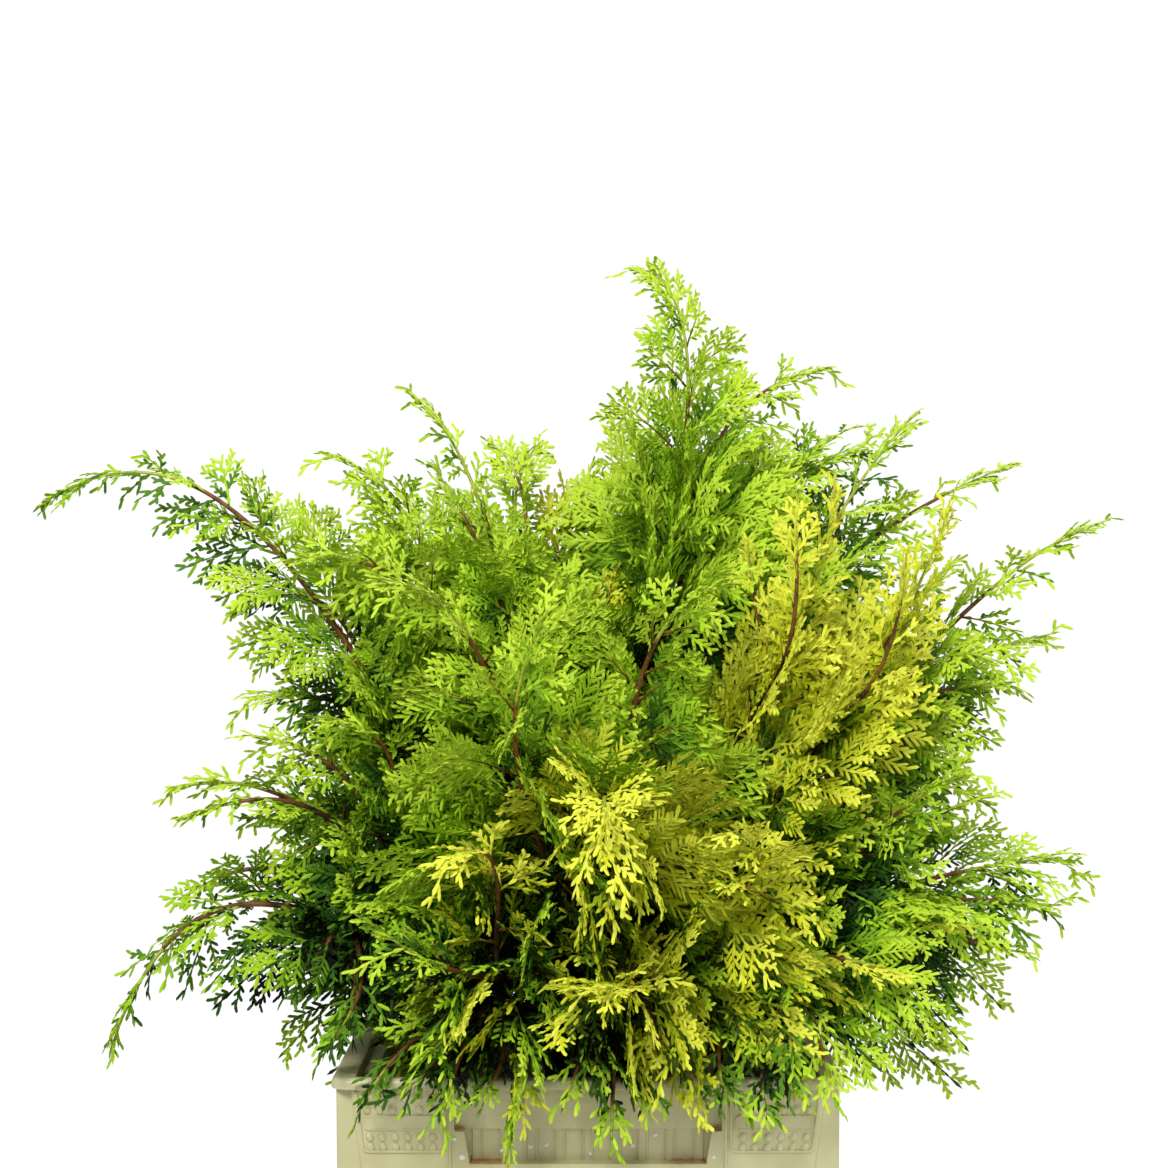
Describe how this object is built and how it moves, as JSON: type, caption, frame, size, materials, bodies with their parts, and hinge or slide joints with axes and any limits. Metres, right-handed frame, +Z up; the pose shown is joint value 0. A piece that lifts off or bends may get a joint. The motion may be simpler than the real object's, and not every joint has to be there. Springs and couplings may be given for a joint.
{
  "type": "potted plumosa aurea sawara cypress",
  "caption": "Dense clump of golden-green feathery sawara cypress shoots rising from one short stool, in compost, in a cream plastic rectangular flower tub with fluted hand holds.",
  "frame": {"origin": "centre of the tub's flat underside", "axes": "+Z up, +Y away from the camera towards the back of the tub, +X to the right along the tub's long side"},
  "size_m": [0.8964, 0.6509, 0.9835],
  "materials": {
    "tub_plastic": "satin moulded plastic, slightly stained",
    "compost": "rough",
    "bark": "rough",
    "gold_foliage": "soft satin leaf",
    "lime_foliage": "soft satin leaf",
    "green_foliage": "soft satin leaf",
    "deep_green_foliage": "soft satin leaf"
  },
  "bodies": {
    "root": {"tub": "tub_plastic", "compost": "compost", "stool": "bark", "bough_top_leader": "bark", "foliage_top_leader": "lime_foliage", "bough_right_upper": "bark", "foliage_right_upper": "green_foliage", "bough_right_leader": "bark", "foliage_right_leader": "lime_foliage", "bough_gold_mid": "bark", "foliage_gold_mid": "gold_foliage", "bough_gold_right": "bark", "foliage_gold_right": "gold_foliage", "bough_right_low": "bark", "foliage_right_low": "lime_foliage", "bough_bottom_right": "bark", "foliage_bottom_right": "gold_foliage", "bough_front_mid_right": "bark", "foliage_front_mid_right": "gold_foliage", "bough_front_centre": "bark", "foliage_front_centre": "gold_foliage", "bough_front_left_plume": "bark", "foliage_front_left_plume": "lime_foliage", "bough_mid_left": "bark", "foliage_mid_left": "lime_foliage", "bough_mid_centre": "bark", "foliage_mid_centre": "lime_foliage", "bough_left_leader": "bark", "foliage_left_leader": "lime_foliage", "bough_centre_curl": "bark", "foliage_centre_curl": "lime_foliage", "bough_left_upper": "bark", "foliage_left_upper": "lime_foliage", "bough_left_long": "bark", "foliage_left_long": "green_foliage", "bough_left_low": "bark", "foliage_left_low": "lime_foliage", "bough_left_hanging": "bark", "foliage_left_hanging": "deep_green_foliage", "bough_front_left_low": "bark", "foliage_front_left_low": "green_foliage", "bough_front_bottom_left": "bark", "foliage_front_bottom_left": "green_foliage", "bough_front_bottom": "bark", "foliage_front_bottom": "gold_foliage", "bough_back_1": "bark", "foliage_back_1": "lime_foliage", "bough_back_2": "bark", "foliage_back_2": "green_foliage", "bough_back_3": "bark", "foliage_back_3": "gold_foliage", "bough_back_4": "bark", "foliage_back_4": "lime_foliage", "bough_back_5": "bark", "foliage_back_5": "green_foliage", "bough_back_6": "bark", "foliage_back_6": "gold_foliage", "bough_back_7": "bark", "foliage_back_7": "lime_foliage"}
  },
  "joints": []
}
